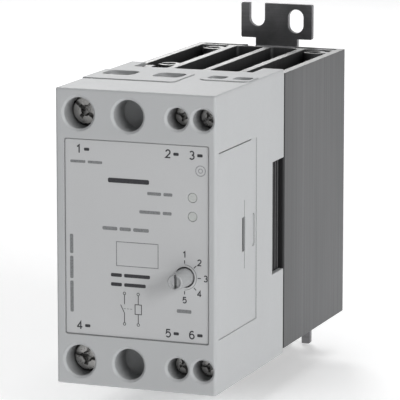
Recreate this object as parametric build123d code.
from build123d import *
import os

# Modular solid state relay, one switched pole, 45 mm wide, with an extruded
# aluminium heatsink and a formed steel plate that hooks on a 35 mm rail or
# screws to a wall.
#
# Frame (mm): origin is the centre of the rail seat, on the rear face of the
# mounting plate.  +X to the right seen from the front, +Y towards the rear,
# +Z up.  The front panel therefore looks along -Y.

os.makedirs("parts", exist_ok=True)

# ------------------------------------------------------------ shared sizes --
# Names ending in _DEPTH, and all arguments of back(), count from the front panel.
WIDTH = 45.0            # two and a half modular units
HEIGHT = 80.0           # over the wire-entry platforms
FRONT_Y = -108.5
HOUSING_DEPTH = 53.0
PLATFORM_RISE = 0.25    # platforms stand this far above the end faces
WALL = 1.4              # housing side wall
FRONT_WALL = 1.8

POWER_X = -16.0
SPARE_X = -2.0          # column without a clamp
CONTROL_X = (11.65, 18.8)
TERMINAL_Z = 33.2       # terminal rows above and below the centre
POWER_SHANK_R = 2.5
CONTROL_SHANK_R = 1.25
CLEARANCE = 0.05        # radial running clearance

LABEL_X = (-20.1, 20.6)     # recess for the printed foil
LABEL_Z = (-26.1, 26.5)
LABEL_DEPTH = 0.55
LED_POSITIONS = ((15.9, 12.7), (15.9, 7.7))     # x, z
LED_HOLE_R = 1.3
KNOB_X, KNOB_Z = 13.7, -8.5
KNOB_HOLE_R = 2.8
KNOB_SHAFT_R = 1.5

BOARD_FRONT = 12.1      # depths of the two board faces
BOARD_REAR = 13.7
POST_X, POST_Z = -8.4, 21.4     # carrier posts that hold the board
SUBSTRATE_FRONT = 46.3  # depths of the layers of the power stage
TRACK_FRONT = 46.0
BASE_FRONT = 47.5       # front face of the heatsink base
BASE_SCREWS = [(x, end * 31.0) for x in (-8.9, 5.9) for end in (1, -1)]     # x, z

PLATE_T = 1.5
PLATE_SCREW_Z = (-8.5, 8.5, 29.0)
SPRING_BOTTOM_Z = -31.2     # top of the plate's seat tab
SPRING_TOP_Z = -22.4        # upper end of the spring slot in the latch


# ---------------------------------------------------------------- helpers --
# Paired limits of boxes, rods and Z slabs may be given in either order.
def back(distance):
    """Y of a point this far behind the front panel."""
    return FRONT_Y + distance


def box(x0, x1, y0, y1, z0, z1):
    return Pos((x0 + x1) / 2, (y0 + y1) / 2, (z0 + z1) / 2) * Box(
        abs(x1 - x0), abs(y1 - y0), abs(z1 - z0))


def rod_x(radius, y, z, x0, x1):
    return Pos((x0 + x1) / 2, y, z) * Rot(0, 90, 0) * Cylinder(radius, abs(x1 - x0))


def rod_y(radius, x, z, y0, y1):
    return Pos(x, (y0 + y1) / 2, z) * Rot(90, 0, 0) * Cylinder(radius, abs(y1 - y0))


def rod_z(radius, x, y, z0, z1):
    return Pos(x, y, (z0 + z1) / 2) * Cylinder(radius, abs(z1 - z0))


def cone_y(r0, r1, x, z, y0, y1):
    """Cone along Y, radius r0 at y0 and r1 at y1 (y1 > y0)."""
    # Rot(90) turns the cone's +Z to -Y, so its bottom radius is at y1
    return Pos(x, (y0 + y1) / 2, z) * Rot(90, 0, 0) * Cone(r1, r0, y1 - y0)


def slab_y(x0, x1, z0, z1, radius, y0, y1):
    """Rounded rectangle in XZ, extruded along Y (y1 > y0)."""
    outline = Pos((x0 + x1) / 2, 0, (z0 + z1) / 2) * Rot(90, 0, 0) * RectangleRounded(
        x1 - x0, z1 - z0, radius)
    return Pos(0, y0, 0) * extrude(outline, amount=(y1 - y0), dir=(0, 1, 0))


def slab_z(x0, x1, y0, y1, radius, z0, z1):
    """Rounded rectangle in XY, extruded along Z."""
    outline = RectangleRounded(x1 - x0, y1 - y0, radius)
    return Pos((x0 + x1) / 2, (y0 + y1) / 2, min(z0, z1)) * extrude(
        outline, amount=abs(z1 - z0))


def prism_x(points, x0, x1):
    """Polygon of (y, z) points, extruded along X (x1 > x0)."""
    outline = Polyline([(x0, y, z) for y, z in points], close=True)
    return extrude(Face(Wire(outline.edges())), amount=(x1 - x0), dir=(1, 0, 0))


def slot_x(x0, x1, y0, y1, z0, z1):
    """Upright slot with rounded ends in YZ, extruded along X."""
    radius = (y1 - y0) / 2
    y = (y0 + y1) / 2
    slot = box(x0, x1, y0, y1, z0 + radius, z1 - radius)
    return slot + rod_x(radius, y, z0 + radius, x0, x1) + rod_x(radius, y, z1 - radius, x0, x1)


def flip_z(shape):
    """The same shape for the lower end."""
    return mirror(shape, about=Plane.XY)


def turned(shape, x, z, degrees):
    """Shape turned about the Y line through x, z."""
    return Pos(x, 0, z) * Rot(0, degrees, 0) * Pos(-x, 0, -z) * shape


def front_edges(shape):
    return shape.faces().sort_by(Axis.Y)[0].edges()


def rear_edges(shape):
    return shape.faces().sort_by(Axis.Y)[-1].edges()


def joined(shapes):
    """Union of the shapes, taken in order."""
    total, *others = shapes
    for shape in others:
        total = total + shape
    return total


def save(name, shape):
    solids = list(shape.solids())
    out = solids[0] if len(solids) == 1 else Compound(children=solids)
    export_step(out, "parts/%s.step" % name)


# ---------------------------------------------------------------- housing --
EDGE_R = 0.45           # four long housing edges
FRONT_R = 0.7           # round the front panel
CAVITY_X = WIDTH / 2 - WALL
CHAMBER_Z = (28.6, 37.1)    # floor and ceiling of the clamp chambers
POWER_CHAMBER_HALF = 4.7
CONTROL_CHAMBER_HALF = 2.25
POWER_CHAMBER_DEPTH = 8.95
CONTROL_CHAMBER_DEPTH = 12.0
BEVEL = 0.65            # widening at the rim of the screwdriver holes
SHANK_GAP = 0.2

# screwdriver holes: x, radius, depth, radius of the shank passage (0 for none)
DRIVER_HOLES = (
    (POWER_X, 4.2, 8.3, POWER_SHANK_R + SHANK_GAP),
    (SPARE_X, 4.2, 8.0, 0),
    (CONTROL_X[0], 2.85, 7.6, CONTROL_SHANK_R + SHANK_GAP),
    (CONTROL_X[1], 2.85, 7.6, CONTROL_SHANK_R + SHANK_GAP),
)
# wire entries: x, bore radius, depth of centre, funnel half sizes in x and y
WIRE_ENTRIES = (
    (POWER_X, 3.6, 30.0, 4.45, 3.95),
    (SPARE_X, 3.6, 30.0, 4.0, 3.95),
    (CONTROL_X[0], 1.9, 30.7, 2.45, 2.4),
    (CONTROL_X[1], 1.9, 30.7, 2.45, 2.4),
)


def housing_block():
    """Solid block with rounded edges and the wire-entry platforms."""
    end_z = HEIGHT / 2 - PLATFORM_RISE
    body = box(-WIDTH / 2, WIDTH / 2, FRONT_Y, back(HOUSING_DEPTH), -end_z, end_z)
    body = fillet(body.edges().filter_by(Axis.Y), EDGE_R)
    body = fillet(front_edges(body), FRONT_R)
    for end in (1, -1):
        z0, z1 = end * (end_z - 0.9), end * HEIGHT / 2
        left = slab_z(-WIDTH / 2 - 3, 3.6, back(18.6), back(35.4), 1.6, z0, z1)
        # trimmed flush with the left side
        left = left & box(-WIDTH / 2, 4, back(18), back(36), z0, z1)
        right = slab_z(7.9, 21.9, back(25.6), back(35.4), 1.8, z0, z1)
        body = body + left + right
    return body


def end_cuts(end):
    """Cuts of the upper (end = 1) or lower (end = -1) terminal wing."""
    # the wing is hollow behind the chambers
    cuts = [box(-CAVITY_X, CAVITY_X, back(38.0), back(54), end * 26.0, end * 38.0)]
    # clamp chambers
    chambers = [(POWER_X, POWER_CHAMBER_HALF, POWER_CHAMBER_DEPTH, 40),
                (SPARE_X, POWER_CHAMBER_HALF, 9.4, 36.4)]
    chambers += [(x, CONTROL_CHAMBER_HALF, CONTROL_CHAMBER_DEPTH, 40) for x in CONTROL_X]
    for x, half, near, far in chambers:
        cuts.append(box(x - half, x + half, back(near), back(far),
                        end * CHAMBER_Z[0], end * CHAMBER_Z[1]))
    # slots in the chamber floors for the conductor tongues
    tongue_slots = [(POWER_X, 3.3, 23.1)] + [(x, 1.6, 26.6) for x in CONTROL_X]
    for x, half, near in tongue_slots:
        cuts.append(box(x - half, x + half, back(near), back(40), end * 26.0, end * 29.0))
    # screwdriver holes with a bevelled rim
    z = end * TERMINAL_Z
    for x, radius, seat, shank_r in DRIVER_HOLES:
        cuts.append(rod_y(radius, x, z, back(-1), back(seat)))
        cuts.append(cone_y(radius + BEVEL, radius, x, z, back(-0.05), back(0.6)))
        if shank_r:
            cuts.append(rod_y(shank_r, x, z, back(seat - 0.1),
                              back(CONTROL_CHAMBER_DEPTH + 0.5)))
    # wire entries: a shallow funnel and a round bore into the chamber
    outside = end * (HEIGHT / 2 + 1)
    for x, radius, centre, half_x, half_y in WIRE_ENTRIES:
        cuts.append(rod_z(radius, x, back(centre), end * (CHAMBER_Z[1] - 0.4), outside))
        cuts.append(slab_z(x - half_x, x + half_x, back(centre - half_y),
                           back(centre + half_y), min(half_x, half_y) * 0.55,
                           end * (HEIGHT / 2 - 0.8), outside))
    # rear notch between the two corner ears
    cuts.append(box(-18.1, 16.6, back(44.0), back(54), end * 37.0, end * 41.0))
    # room for the end of the heatsink base between the ears
    cuts.append(box(-18.9, 18.9, back(47.1), back(54), end * 36.0, end * 38.8))
    return cuts


def side_cuts(side):
    """Cuts of the right (side = 1) or left (side = -1) wall."""
    outside = side * (WIDTH / 2 + 1)

    def sunk(amount):
        return side * (WIDTH / 2 - amount)

    return [
        # shallow marking panel and the parting gap along its top
        box(sunk(0.2), outside, back(2.3), back(31.3), -25.1, 24.3),
        box(sunk(0.9), outside, back(2.3), back(27.0), 24.2, 24.55),
        # slot for the carrier's snap hook, and a groove over it
        box(side * 20.0, side * 24.0, back(20.5), back(22.8), -4.9, 4.3),
        box(sunk(0.75), outside, back(22.05), back(22.4), -9.7, 8.8),
        # finger groove
        slot_x(sunk(0.5), outside, back(27.9), back(30.3), -4.9, 4.1),
        # window open to the rear
        box(side * 20.0, side * 24.0, back(43.9), back(54), -15.6, 15.5),
    ]


def make_housing():
    body = housing_block()
    cuts = [box(-CAVITY_X, CAVITY_X, back(FRONT_WALL), back(54), -26.6, 26.6)]
    for end in (1, -1):
        cuts += end_cuts(end)
    cuts.append(slab_y(*LABEL_X, *LABEL_Z, 0.6, back(-1), back(LABEL_DEPTH)))
    for x, z in LED_POSITIONS:
        cuts.append(rod_y(LED_HOLE_R, x, z, back(-1), back(4)))
    cuts.append(rod_y(KNOB_HOLE_R, KNOB_X, KNOB_Z, back(-1), back(4)))
    for side in (1, -1):
        cuts += side_cuts(side)
    for cut in cuts:
        body = body - cut
    # blocks behind the front wall at both ends of the cavity: one at the left
    # wall, and a taller one that ends just in front of the board
    for end in (1, -1):
        z0, z1 = end * 24.2, end * 26.8
        body = body + box(-21.2, -17.0, back(1.5), back(9.0), z0, z1)
        body = body + box(6.0, 9.0, back(1.5), back(11.9), z0, z1)
    return body


save("housing", make_housing())

# ------------------------------------------------------------ front parts --
FOIL_T = 0.2
FOIL_GAP = 0.25         # foil edge to recess edge
KNOB_R = 2.4
KNOB_FACE = -6.8        # depth of the knob face, in front of the panel


def make_foil():
    foil = slab_y(LABEL_X[0] + FOIL_GAP, LABEL_X[1] - FOIL_GAP,
                  LABEL_Z[0] + FOIL_GAP, LABEL_Z[1] - FOIL_GAP, 0.5,
                  back(LABEL_DEPTH - FOIL_T), back(LABEL_DEPTH))
    for x, z in LED_POSITIONS:
        foil = foil - rod_y(LED_HOLE_R, x, z, back(-1), back(2))
    return foil - rod_y(KNOB_HOLE_R, KNOB_X, KNOB_Z, back(-1), back(2))


def make_light_pipe(x, z):
    """Rod with a collar at its rear and a domed front end."""
    face, radius, dome_r = 0.45, 1.2, 1.9
    pipe = rod_y(radius, x, z, back(face), back(9.6)) + rod_y(1.9, x, z, back(9.4), back(10.7))
    ball = Pos(x, back(face) + 1.55, z) * Sphere(dome_r)
    return pipe + (ball & rod_y(radius, x, z, back(0.1), back(1.2)))


def make_knob():
    """Rotary mode selector, one moulding with its shaft."""
    x, z = KNOB_X, KNOB_Z
    slot_half = 0.4
    knob = cone_y(2.08, KNOB_R, x, z, back(KNOB_FACE), back(-0.4))
    knob = chamfer(front_edges(knob), 0.25)
    knob = knob + rod_y(KNOB_R, x, z, back(-0.45), back(3.0))
    # collar, then shaft
    knob = knob + rod_y(3.3, x, z, back(2.4), back(4.4))
    knob = knob + rod_y(KNOB_SHAFT_R, x, z, back(4.2), back(10.4))
    # shallow dish in the face, a driver slot across it
    knob = knob - cone_y(1.62, 1.4, x, z, back(KNOB_FACE - 0.01), back(KNOB_FACE + 0.45))
    knob = knob - box(x - slot_half, x + slot_half, back(KNOB_FACE - 1),
                      back(KNOB_FACE + 1.6), z - 1.72, z + 1.72)
    # pointer notch through the rim at the upper end of the driver slot
    return knob - box(x - slot_half, x + slot_half, back(KNOB_FACE - 1),
                      back(KNOB_FACE + 0.9), z + 1.5, z + 2.6)


def make_switch():
    """Square switch body behind the knob."""
    x, z, half = KNOB_X, KNOB_Z, 5
    switch = box(x - half, x + half, back(5.4), back(12.0), z - half, z + half)
    switch = chamfer(front_edges(switch), 0.5)
    switch = switch - rod_y(KNOB_SHAFT_R + CLEARANCE, x, z, back(5), back(10.6))
    return switch - rod_y(2.3, x, z, back(5), back(5.9))


save("front_label", make_foil())
save("led_lens_load", make_light_pipe(*LED_POSITIONS[0]))
save("led_lens_control", make_light_pipe(*LED_POSITIONS[1]))
save("mode_knob", make_knob())
save("mode_switch", make_switch())

# ----------------------------------------------------------------- clamps --
# head and tip are depths; the _edge values are chamfers
POWER_SCREW = dict(
    head_r=3.85, head=(5.4, 8.2), head_edge=0.35,
    shank_r=POWER_SHANK_R, tip=23.35, tip_edge=0.5,
    recess=dict(arm=2.35, arm_width=1.05, depth=1.9,
                slot_half=3.95, slot_width=1.0, slot_depth=1.15))
CONTROL_SCREW = dict(
    head_r=2.6, head=(5.6, 7.5), head_edge=0.25,
    shank_r=CONTROL_SHANK_R, tip=26.85, tip_edge=0.3,
    recess=dict(arm=1.5, arm_width=0.7, depth=1.2,
                slot_half=2.7, slot_width=0.65, slot_depth=0.8))
# outer and window are depth ranges; half_x, half_z and window_half are half sizes
POWER_CAGE = dict(
    half_x=4.6, half_z=3.75, outer=(15.5, 36.5), edge_r=0.8,
    window_half=3.6, window=(18.5, 34.5), hole_r=POWER_SHANK_R + CLEARANCE,
    groove_pitch=2, groove_half=0.4, groove_depth=0.35)
CONTROL_CAGE = dict(
    half_x=2.15, half_z=2.8, outer=(19.0, 34.6), edge_r=0.45,
    window_half=1.45, window=(21.2, 33.4), hole_r=CONTROL_SHANK_R + CLEARANCE,
    groove_pitch=1.2, groove_half=0.25, groove_depth=0.25)


def driver_recess(x, z, face, arm, arm_width, depth, slot_half, slot_width, slot_depth):
    """Combined slot and cross recess for a head whose front face is at y = face."""
    half = arm_width / 2
    slot = box(x - slot_half, x + slot_half, face - 1, face + slot_depth,
               z - slot_width / 2, z + slot_width / 2)
    cross = (box(x - arm, x + arm, face - 1, face + depth, z - half, z + half)
             + box(x - half, x + half, face - 1, face + depth, z - arm, z + arm))
    centre = cone_y(arm * 0.62, arm * 0.2, x, z, face - 0.01, face + depth * 1.1)
    return slot + cross + centre


def make_clamp_screw(x, end, degrees, head_r, head, head_edge, shank_r, tip, tip_edge, recess):
    z = end * TERMINAL_Z
    screw = rod_y(head_r, x, z, back(head[0]), back(head[1]))
    screw = chamfer(front_edges(screw), head_edge)
    screw = screw + rod_y(shank_r, x, z, back(head[1] - 0.1), back(tip))
    screw = screw - driver_recess(x, z, back(head[0]), **recess)
    screw = chamfer(rear_edges(screw), tip_edge)
    return turned(screw, x, z, degrees)


def make_cage(x, end, half_x, half_z, outer, edge_r, window_half, window, hole_r,
              groove_pitch, groove_half, groove_depth):
    z = end * TERMINAL_Z
    cage = box(x - half_x, x + half_x, back(outer[0]), back(outer[1]), z - half_z, z + half_z)
    cage = fillet(cage.edges().filter_by(Axis.Z), edge_r)
    cage = cage - box(x - window_half, x + window_half, back(window[0]), back(window[1]),
                      z - half_z - 1, z + half_z + 1)
    cage = cage - rod_y(hole_r, x, z, back(outer[0] - 1), back(window[0] + 0.5))
    # grip grooves across the wire seat
    for step in (-1, 0, 1):
        groove_z = z + step * groove_pitch
        cage = cage - box(x - window_half, x + window_half, back(window[1] - 0.1),
                          back(window[1] + groove_depth),
                          groove_z - groove_half, groove_z + groove_half)
    return cage


# name, end, turn of the screw in degrees
for name, end, degrees in (("line", 1, 38), ("load", -1, 12)):
    save(name + "_clamp_screw", make_clamp_screw(POWER_X, end, degrees, **POWER_SCREW))
    save(name + "_clamp_cage", make_cage(POWER_X, end, **POWER_CAGE))

# name, x, end, turn of the screw in degrees
for name, x, end, degrees in (("top_inner", CONTROL_X[0], 1, 20),
                              ("top_outer", CONTROL_X[1], 1, -33),
                              ("bottom_inner", CONTROL_X[0], -1, 64),
                              ("bottom_outer", CONTROL_X[1], -1, 5)):
    save("control_screw_" + name, make_clamp_screw(x, end, degrees, **CONTROL_SCREW))
    save("control_cage_" + name, make_cage(x, end, **CONTROL_CAGE))


# ------------------------------------------------------------- conductors --
def make_busbar():
    """Upper copper strip, from the power substrate to the power clamp."""
    x0, x1 = -17.2, -13.2
    near, far = 23.5, 46.0      # depths
    thickness = 2.0
    low, high = 13.0, 15.0      # z of the strip that runs front to rear
    riser = box(x0, x1, back(near), back(far), low, high)
    foot = box(x0, x1, back(far - thickness), back(far), 8.0, high)
    tongue = box(POWER_X - 2.9, POWER_X + 2.9, back(near), back(near + thickness), low, 36.9)
    bar = riser + foot + tongue
    # inside and outside of the bend above the foot: depth, z, radius
    for bend_depth, bend_z, radius in ((far - thickness, low, 0.8), (far, high, 1.6)):
        bend = [edge for edge in bar.edges().filter_by(Axis.X)
                if abs(edge.center().Y - back(bend_depth)) < 0.05
                and abs(edge.center().Z - bend_z) < 0.05]
        bar = fillet(bend, radius)
    return bar


def make_control_contact(x, end):
    """L-shaped strip from the board to a control clamp."""
    half = 1.2
    tongue = box(x - half, x + half, back(27.0), back(28.0), 22.4, 36.4)
    leg = box(x - half, x + half, back(BOARD_REAR), back(28.0), 22.4, 23.4)
    contact = tongue + leg
    return contact if end > 0 else flip_z(contact)


save("busbar_line", make_busbar())
save("busbar_load", flip_z(make_busbar()))
save("control_contacts",
     joined(make_control_contact(x, end) for end in (1, -1) for x in CONTROL_X))

# ---------------------------------------------------------- circuit board --
SOLDER_REAR = BOARD_REAR + 0.05     # depth where surface-mounted leads start
BODY_FRONT = BOARD_REAR + 0.1       # depth where surface-mounted bodies start
RESISTORS = ((11.0, -10.2), (13.4, -10.2), (15.8, -10.2), (18.2, -10.2),    # x, z
             (11.0, 6.0), (13.4, 6.0), (15.8, 6.0),
             (3.0, -4.0), (5.4, -4.0), (7.8, -4.0))


def make_board():
    board = box(-10.5, 20.8, back(BOARD_FRONT), back(BOARD_REAR), -26.4, 26.4)
    for z in (POST_Z, -POST_Z):
        board = board - rod_y(1.3, POST_X, z, back(11), back(15))
    return board


def make_led_chip(x, z):
    return box(x - 1.6, x + 1.6, back(BOARD_FRONT - 1.0), back(BOARD_FRONT), z - 0.8, z + 0.8)


def make_optocoupler(z):
    x0, x1 = -8.6, -2.0
    lead_t = 0.5
    body = box(x0, x1, back(14.1), back(17.6), z - 4.2, z + 4.2)
    body = chamfer(rear_edges(body), 0.4)
    for offset in (-2.54, 0.0, 2.54):
        for lead_x in (x0 - lead_t, x1):
            body = body + box(lead_x, lead_x + lead_t, back(BOARD_REAR), back(16.2),
                              z + offset - 0.3, z + offset + 0.3)
    return body


def make_smoothing_capacitor():
    """Upright can with a groove round it near the board."""
    x, z = 4.4, 8.6
    can = rod_y(4.0, x, z, back(BOARD_REAR), back(25.2))
    can = fillet(rear_edges(can), 0.5)
    ring = rod_y(4.3, x, z, back(15.0), back(15.6)) - rod_y(3.75, x, z, back(14.9), back(15.7))
    return can - ring


def make_snubber():
    block = box(-5.6, 7.4, back(BOARD_REAR), back(24.7), -20.8, -14.8)
    return fillet(rear_edges(block), 0.6)


def make_varistor():
    """Disc standing on edge on two legs."""
    x, z = -0.6, 17.8
    disc = Pos(x, back(20.6), z) * Cylinder(5.2, 3.6)
    disc = fillet(disc.edges(), 1.2)
    legs = joined(rod_y(0.35, x + offset, z, back(BOARD_REAR), back(17.2))
                  for offset in (-2.4, 2.4))
    return disc + legs


def make_bridge():
    block = box(10.5, 17.5, back(BODY_FRONT), back(16.2), 10.4, 15.4)
    return chamfer(rear_edges(block), 0.35)


def make_control_chip():
    chip = box(11.4, 16.4, back(BODY_FRONT), back(15.2), -4.0, 2.2)
    for k in range(4):
        z = -3.2 + k * 1.45
        chip = chip + box(10.4, 17.4, back(SOLDER_REAR), back(14.0), z - 0.2, z + 0.2)
    return chip


def make_resistor(x, z):
    return box(x - 0.6, x + 0.6, back(SOLDER_REAR), back(14.35), z - 1.0, z + 1.0)


def make_regulator():
    body = box(10.0, 16.6, back(BODY_FRONT), back(16.1), -19.4, -13.4)
    return body + box(11.4, 15.2, back(SOLDER_REAR), back(14.6), -21.6, -12.0)


save("control_pcb", make_board())
save("led_chips", joined(make_led_chip(x, z) for x, z in LED_POSITIONS))
save("optocouplers", joined(make_optocoupler(z) for z in (4.5, -5.5)))
save("smoothing_capacitor", make_smoothing_capacitor())
save("snubber_capacitor", make_snubber())
save("varistor", make_varistor())
save("bridge_rectifier", make_bridge())
save("control_chip", make_control_chip())
save("resistors", joined(make_resistor(x, z) for x, z in RESISTORS))
save("voltage_regulator", make_regulator())

# ------------------------------------------------------------ power stage --
CHIP_FRONT = 45.55      # depth of the front face of the thyristor chips
TRACKS = (              # x0, x1, z0, z1
    (-17.3, -4.2, 1.6, 16.4),
    (-17.3, -4.2, -16.4, -1.6),
    (-3.2, 7.4, 1.0, 16.4),
    (-3.2, 7.4, -16.4, -1.0),
    (8.4, 13.2, 9.0, 15.6),
    (8.4, 13.2, -15.6, -9.0),
)


def make_clip(end):
    """Bridge from a thyristor chip to the neighbouring track."""
    z0, z1 = end * 6.5 - 1.6, end * 6.5 + 1.6
    return (box(-9.9, -7.1, back(44.75), back(CHIP_FRONT), z0, z1)
            + box(-9.9, 3.4, back(43.95), back(44.8), z0, z1)
            + box(1.4, 3.4, back(43.95), back(TRACK_FRONT), z0, z1))


save("thermal_pad", box(-17.8, 14.2, back(BASE_FRONT) - 0.2, back(BASE_FRONT), -17.2, 17.2))
save("ceramic_substrate",
     box(-17.5, 13.9, back(SUBSTRATE_FRONT), back(BASE_FRONT - 0.2), -16.9, 16.9))
save("copper_tracks",
     joined(box(x0, x1, back(TRACK_FRONT), back(SUBSTRATE_FRONT), z0, z1)
            for x0, x1, z0, z1 in TRACKS))
save("thyristor_chips",
     joined(box(-11.8, -5.2, back(CHIP_FRONT), back(TRACK_FRONT), z0, z1)
            for z0, z1 in ((3.2, 9.8), (-9.8, -3.2))))
save("chip_clips", joined(make_clip(end) for end in (1, -1)))
save("gate_pins",
     joined(rod_y(0.4, 8.9, z, back(BOARD_REAR), back(TRACK_FRONT))
            for z in (13.8, 10.8, -10.8, -13.8)))


# ---------------------------------------------------------- carrier frame --
def make_carrier():
    frame = box(-20.8, 20.8, back(40.0), back(47.3), -37.8, 37.8)
    frame = frame - box(-18.0, 15.2, back(39), back(48), -23.5, 23.5)
    # sign picks the right or left side, and the upper or lower end
    for sign in (1, -1):
        # side skirt that closes the housing window, with upright ribs
        frame = frame + box(sign * 18.8, sign * 20.8, back(40.0), back(53.4), -37.6, 37.6)
        for near in (45.3, 47.2, 49.1, 51.0):
            frame = frame + box(sign * 20.5, sign * 21.35, back(near), back(near + 0.8),
                                -15.1, 15.0)
        # snap arm and hook for the housing slot
        frame = frame + box(sign * 19.7, sign * 20.95, back(20.0), back(41.0), -4.4, 3.8)
        frame = frame + box(sign * 20.6, sign * 21.7, back(21.0), back(22.5), -4.4, 3.8)
        # blocks that fill the rear of the clamp chambers
        z0, z1 = sign * 29.0, sign * 36.8
        frame = frame + box(POWER_X - 4.5, POWER_X + 4.5, back(36.9), back(41), z0, z1)
        for x in CONTROL_X:
            frame = frame + box(x - 2.1, x + 2.1, back(35.1), back(41), z0, z1)
        # circuit board post with a locating pip
        frame = frame + box(POST_X - 1.8, POST_X + 1.8, back(SOLDER_REAR), back(41),
                            sign * 19.9, sign * 23.9)
        frame = frame + rod_y(1.2, POST_X, sign * POST_Z, back(12.3), back(14))
    # counterbored passages for the base screws
    for x, z in BASE_SCREWS:
        frame = frame - rod_y(1.65, x, z, back(39), back(48))
        frame = frame - rod_y(3.0, x, z, back(39), back(41.9))
    return frame


def make_base_screw(x, z):
    """Screw that holds the carrier to the heatsink base."""
    face = back(39.9)
    screw = rod_y(2.75, x, z, face, back(41.9))
    screw = chamfer(front_edges(screw), 0.3)
    screw = screw + rod_y(1.5, x, z, back(41.8), back(51.3))
    return screw - driver_recess(x, z, face, arm=1.4, arm_width=0.7, depth=1.2,
                                 slot_half=1.4, slot_width=0.7, slot_depth=1.0)


save("carrier_frame", make_carrier())
save("base_screws", joined(make_base_screw(x, z) for x, z in BASE_SCREWS))

# --------------------------------------------------------------- heatsink --
SINK_HALF_Z = 38.5
SINK_HALF_X = 22.25
SINK_INNER_X = SINK_HALF_X - 2.2    # inner face of the outer walls
SINK_REAR_Y = -PLATE_T
FIN_T = 2.1
FIN_X = (-10.5, 0.0, 10.5)


def through_z(x0, x1, y0, y1):
    """Box cutter that runs past both ends of the extrusion."""
    return box(x0, x1, y0, y1, -SINK_HALF_Z - 1, SINK_HALF_Z + 1)


def screw_groove(x, y, root_x):
    """C-shaped boss open to the left, joined on its right to root_x."""
    boss = rod_z(3.05, x, y, -SINK_HALF_Z, SINK_HALF_Z)
    boss = boss + box(x, root_x, y - 1.5, y + 1.5, -SINK_HALF_Z, SINK_HALF_Z)
    boss = boss - rod_z(1.75, x, y, -SINK_HALF_Z - 1, SINK_HALF_Z + 1)
    return boss - through_z(x - 4, x, y - 1.05, y + 1.05)


def make_heatsink():
    """Extruded profile: base, two outer walls, three fins, rear T slot."""
    web_front, web_rear = back(102.6), back(104.0)
    cut_z = (-SINK_HALF_Z - 1, SINK_HALF_Z + 1)
    body = box(-SINK_HALF_X, SINK_HALF_X, back(54.2), SINK_REAR_Y, -SINK_HALF_Z, SINK_HALF_Z)
    body = fillet(body.edges().filter_by(Axis.Z), 0.5)
    body = body + box(-18.6, 18.6, back(BASE_FRONT), back(55.0), -SINK_HALF_Z, SINK_HALF_Z)
    # cavities between the fins
    lefts = [-SINK_INNER_X] + [x + FIN_T / 2 for x in FIN_X]
    rights = [x - FIN_T / 2 for x in FIN_X] + [SINK_INNER_X]
    for x0, x1 in zip(lefts, rights):
        body = body - slab_z(x0, x1, back(56.4), web_front, 1.0, *cut_z)
        # forward part, reaching into the base
        body = body - slab_z(max(x0, -16.5), min(x1, 16.5), back(52.5), back(60.0), 1.0,
                             *cut_z)
    # rear T slot and its opening
    body = body - through_z(-20.2, 20.2, web_rear, back(105.6))
    body = body - through_z(-7.5, 7.5, back(105), back(108))
    fin_root = FIN_X[0] - FIN_T / 2 + 0.3
    body = body + screw_groove(-14.0, back(60.7), fin_root)
    body = body + screw_groove(-14.4, back(97.0), fin_root)
    body = body + screw_groove(16.2, back(97.6), SINK_INNER_X + 0.3)
    # holes for the base screws
    for x, z in BASE_SCREWS:
        body = body - rod_y(1.55, x, z, back(47), back(51.6))
    return body


save("heatsink", make_heatsink())

# --------------------------------------------------------- mounting plate --
EAR_Y = (2.0, 3.5)      # ears are set back behind the rail seat
EAR_HALF_X = 10.9
EAR_Z = (40.1, 50.3)
NECK_HALF_X = 6.4
EAR_SLOT_R = 4.7 / 2
EAR_SLOT_X = 5.95

# side profiles, (y, z) points
NECK_PROFILE = [(-1.5, 33.4), (0.0, 33.4), (0.0, 34.6), (3.5, 37.2), (3.5, 41.2), (2.0, 41.2),
                (2.0, 37.9), (-1.5, 35.3)]
HOOK_PROFILE = [(-0.2, 18.1), (1.4, 18.1), (1.4, 15.8), (1.9, 15.2), (2.9, 15.2), (2.9, 19.1),
                (2.3, 19.7), (-0.2, 19.7)]


def make_upper_ear():
    """Cranked neck and wall-fixing ear with two slots."""
    radius = EAR_SLOT_R
    neck = prism_x(NECK_PROFILE, -NECK_HALF_X, NECK_HALF_X)
    ear = slab_y(-EAR_HALF_X, EAR_HALF_X, *EAR_Z, 0.5, *EAR_Y)
    # slot open at the top, left of centre
    x, low = -EAR_SLOT_X, 43.5 + radius
    ear = ear - box(x - radius, x + radius, 1, 5, low, 52)
    ear = ear - rod_y(radius, x, low, 1, 5)
    # closed slot, right of centre
    x, low, high = EAR_SLOT_X, 41.9 + radius, 48.8 - radius
    ear = ear - box(x - radius, x + radius, 1, 5, low, high)
    ear = ear - rod_y(radius, x, low, 1, 5) - rod_y(radius, x, high, 1, 5)
    return neck + ear


def make_plate():
    plate = slab_y(-16.0, 16.0, -36.6, 36.6, 1.5, -PLATE_T, 0.0)
    upper = make_upper_ear()
    lower = Rot(0, 180, 0) * upper
    # relief cuts at the necks
    for end in (1, -1):
        plate = plate - box(-NECK_HALF_X - 0.9, NECK_HALF_X + 0.9, -2, 0.5,
                            end * 34.3, end * 37.0)
    plate = plate + upper + lower
    # two rail hooks, each with an opening in the plate above it
    for side in (1, -1):
        x0, x1 = sorted((side * 7.6, side * 13.6))
        plate = plate + prism_x(HOOK_PROFILE, x0, x1)
        plate = plate - box(x0 - 0.3, x1 + 0.3, -2, 0.5, 19.7, 24.2)
    # latch guides: upright webs with inward lips
    for side in (1, -1):
        guide = box(side * 12.7, side * 13.9, -0.2, 2.7, -31.5, -24.0)
        guide = guide + box(side * 10.9, side * 13.9, 1.75, 2.7, -31.5, -24.0)
        plate = plate + guide
    # spring seat tab
    plate = plate + box(-1.4, 1.4, -0.2, 2.7, -32.4, SPRING_BOTTOM_Z)
    for z in PLATE_SCREW_Z:
        plate = plate - rod_y(2.15, 0, z, -3, 1)
    return plate


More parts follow.
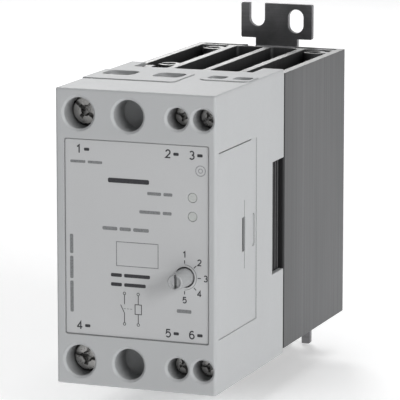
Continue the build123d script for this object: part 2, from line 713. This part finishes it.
def make_nut_strip():
    """Strip in the heatsink's T slot that takes the plate screws."""
    strip = slab_y(-11.5, 11.5, -15.0, 35.0, 1.0, back(104.1), back(105.5))
    for z in PLATE_SCREW_Z:
        strip = strip - rod_y(2.0, 0, z, back(103), back(107))
    return strip


def make_plate_screw(z, degrees):
    """Screw with its head on the rear face of the plate."""
    arm, half = 1.9, 0.45       # cross recess
    screw = rod_y(3.5, 0, z, 0.0, 2.0)
    screw = chamfer(rear_edges(screw), 0.5)
    screw = screw + rod_y(1.95, 0, z, back(104.15), 0.1)
    cross = box(-arm, arm, 0.8, 3, z - half, z + half) + box(
        -half, half, 0.8, 3, z - arm, z + arm)
    return turned(screw - cross, 0, z, degrees)


save("mounting_plate", make_plate())
save("nut_strip", make_nut_strip())
save("plate_screws",
     joined(make_plate_screw(z, degrees) for z, degrees in zip(PLATE_SCREW_Z, (15, 50, 80))))

# ------------------------------------------------------------- rail latch --
LATCH_Y = (0.12, 1.6)
LIP_PROFILE = [(0.12, -19.8), (0.12, -18.1), (1.4, -18.1), (1.4, -15.6), (1.9, -15.6),
               (2.9, -17.4), (2.9, -19.0), (2.1, -19.8)]     # (y, z) points


def make_latch():
    latch = box(-12.4, 12.4, *LATCH_Y, -33.0, -18.1)
    latch = latch + prism_x(LIP_PROFILE, -9.6, 9.6)
    # pull lug with a driver slot, beside the neck of the plate
    lug = slab_y(-16.4, -11.6, -45.6, -30.0, 1.2, *LATCH_Y)
    lug = lug & box(-17, -11, 0, 2, -46, -33.0)
    lug = slab_y(-16.4, -7.4, -34.6, -32.0, 0.6, *LATCH_Y) + lug
    latch = latch + lug
    latch = latch - slab_y(-15.6, -12.4, -43.9, -41.3, 0.5, -1, 3)
    # slot for the spring, and room for the neck of the plate's lower ear
    latch = latch - box(-1.75, 1.75, -1, 3, -34.0, SPRING_TOP_Z)
    return latch - box(-7.0, 7.0, -1, 3, -34.0, -31.2)


def make_spring():
    """Compression spring between the plate's seat tab and the latch."""
    wire_r, coil_r, turns = 0.2, 1.0, 7.0
    bottom = SPRING_BOTTOM_Z + CLEARANCE + wire_r
    top = SPRING_TOP_Z - CLEARANCE - wire_r
    helix = Helix(pitch=(top - bottom) / turns, height=top - bottom, radius=coil_r)
    profile = Plane(origin=helix @ 0, z_dir=helix % 0) * Circle(wire_r)
    return Pos(0, 1.45, bottom) * sweep(profile, path=helix)


save("din_latch", make_latch())
save("latch_spring", make_spring())
